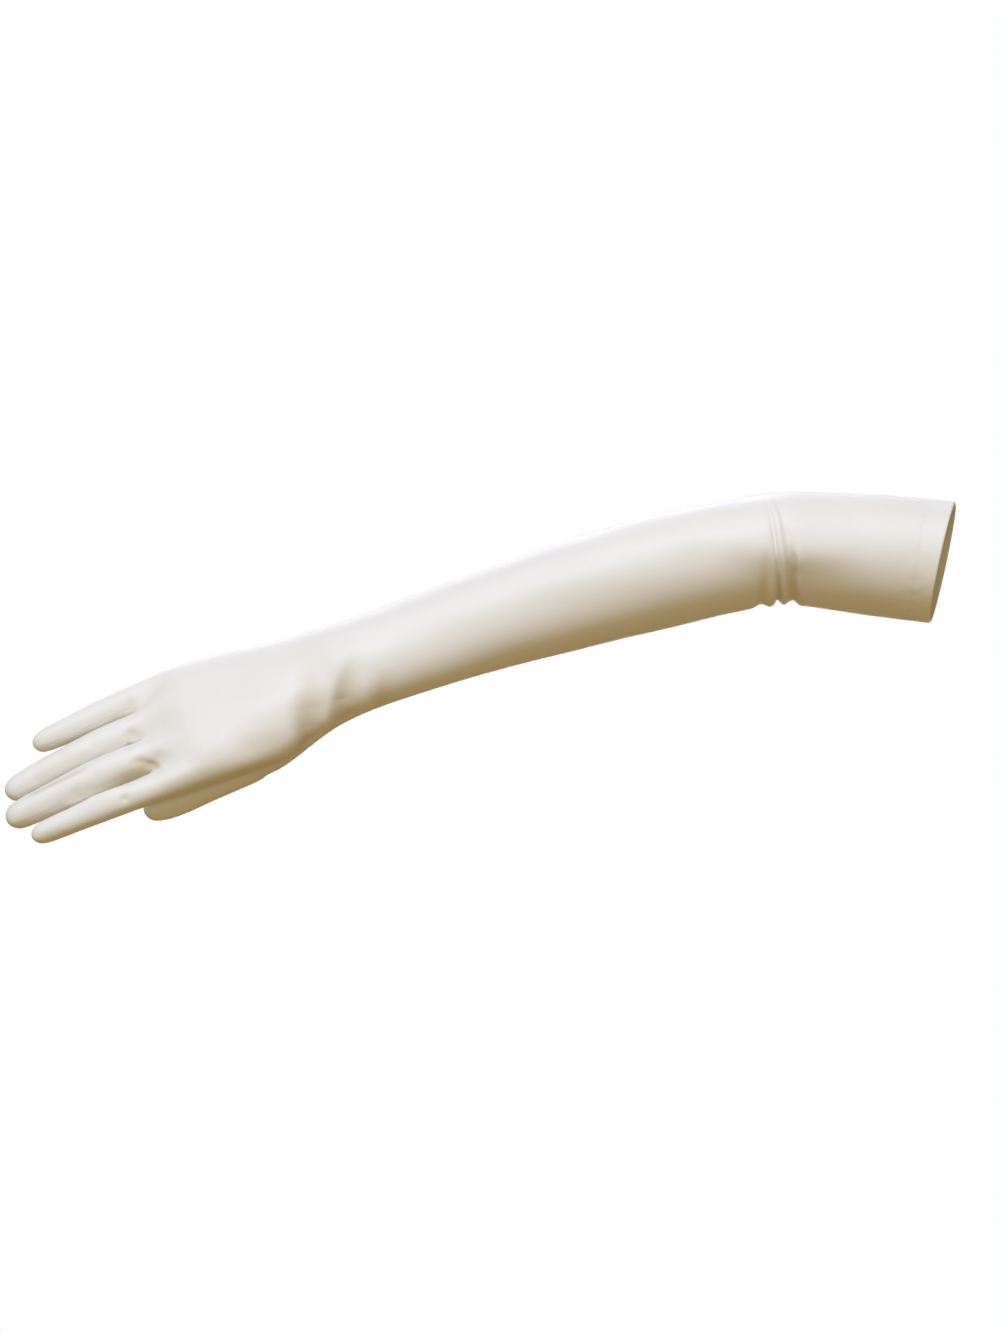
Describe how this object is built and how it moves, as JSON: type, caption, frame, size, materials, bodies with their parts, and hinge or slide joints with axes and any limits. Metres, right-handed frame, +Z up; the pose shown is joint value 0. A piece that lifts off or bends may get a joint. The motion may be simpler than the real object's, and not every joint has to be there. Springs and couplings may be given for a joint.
{
  "type": "long satin glove",
  "caption": "Above-elbow dress glove in ivory stretch satin, worn shape, with fourchettes between the fingers, a set-in thumb and a stitched cuff hem.",
  "frame": {"origin": "centre of the open cuff, where the arm goes in", "axes": "+X out of the cuff towards the shoulder, -X towards the fingertips, +Z up, -Y on the side that the back of the hand faces"},
  "size_m": [0.5158, 0.0662, 0.1896],
  "materials": {
    "satin": "matte ivory stretch satin, soft broad sheen, fine weave",
    "hem_satin": "the same satin turned in and topstitched, slightly firmer"
  },
  "bodies": {
    "root": {"back_sleeve": "satin", "palm_sleeve": "satin", "back_forearm": "satin", "palm_forearm": "satin", "back_hand": "satin", "palm_hand": "satin", "fourchette_index_middle": "satin", "fourchette_middle_ring": "satin", "fourchette_ring_little": "satin", "thumb": "satin", "cuff_hem": "hem_satin"}
  },
  "joints": []
}
